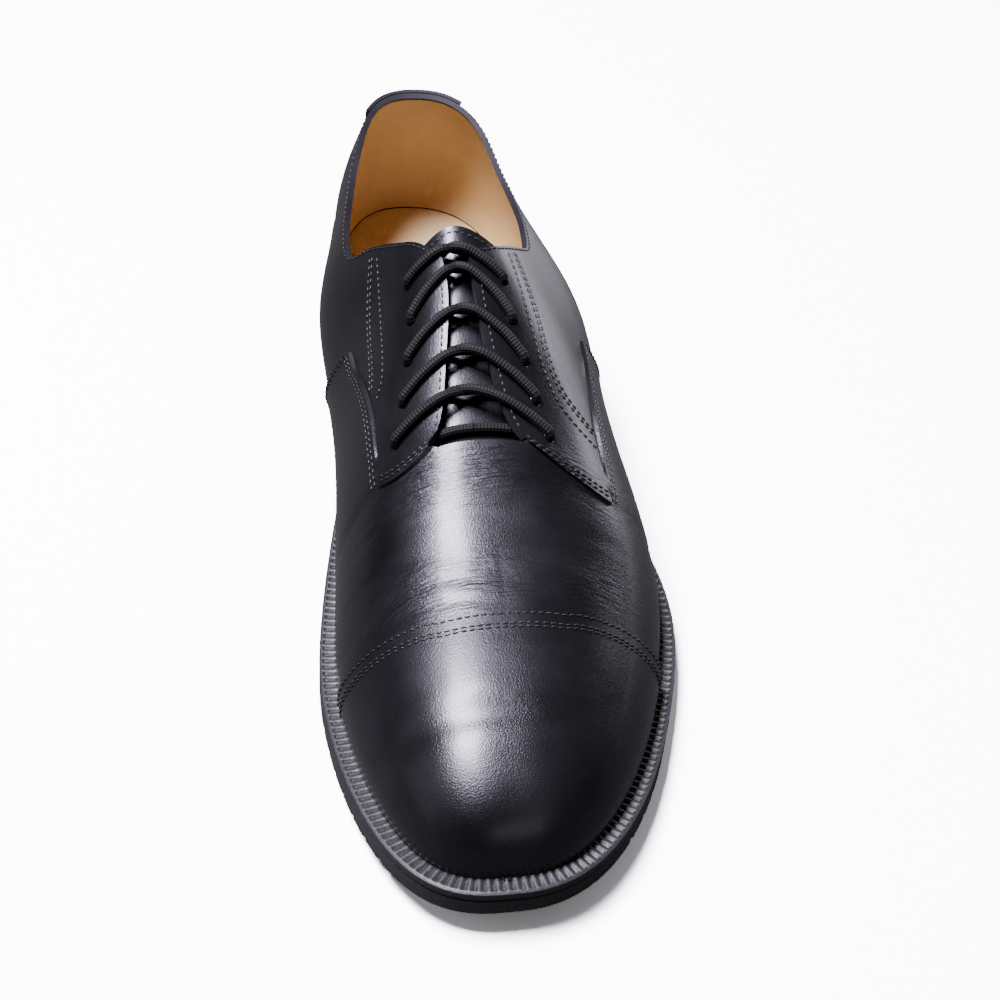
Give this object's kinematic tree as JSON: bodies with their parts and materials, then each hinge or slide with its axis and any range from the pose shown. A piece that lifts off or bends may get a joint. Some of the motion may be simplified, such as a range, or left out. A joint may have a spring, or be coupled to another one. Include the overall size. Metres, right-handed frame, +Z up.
{
  "type": "cap-toe derby shoe",
  "caption": "Left lace-up derby shoe with a toe cap, open lacing, ribbed welt, low heel and a hollow leather upper.",
  "frame": {"origin": "middle of the bounding box, on the floor under the sole", "axes": "-Y toward the toe, +X toward the little-toe side, +Z up"},
  "size_m": [0.114, 0.3136, 0.1025],
  "materials": {
    "upper_leather": "polished black, fine grain",
    "tongue_leather": "soft black",
    "insole_leather": "bare tan",
    "sole_rubber": "matt black",
    "lace_cord": "braided black cotton"
  },
  "bodies": {
    "root": {"upper": "upper_leather", "toe_cap": "upper_leather", "back_strip": "upper_leather", "tongue": "tongue_leather", "insole": "insole_leather", "welt": "sole_rubber", "outsole": "sole_rubber", "heel": "sole_rubber", "top_piece": "sole_rubber", "lace_bar": "lace_cord", "lace_row_1": "lace_cord", "lace_row_2": "lace_cord", "lace_row_3": "lace_cord", "lace_row_4": "lace_cord", "lace_row_5": "lace_cord"}
  },
  "joints": []
}
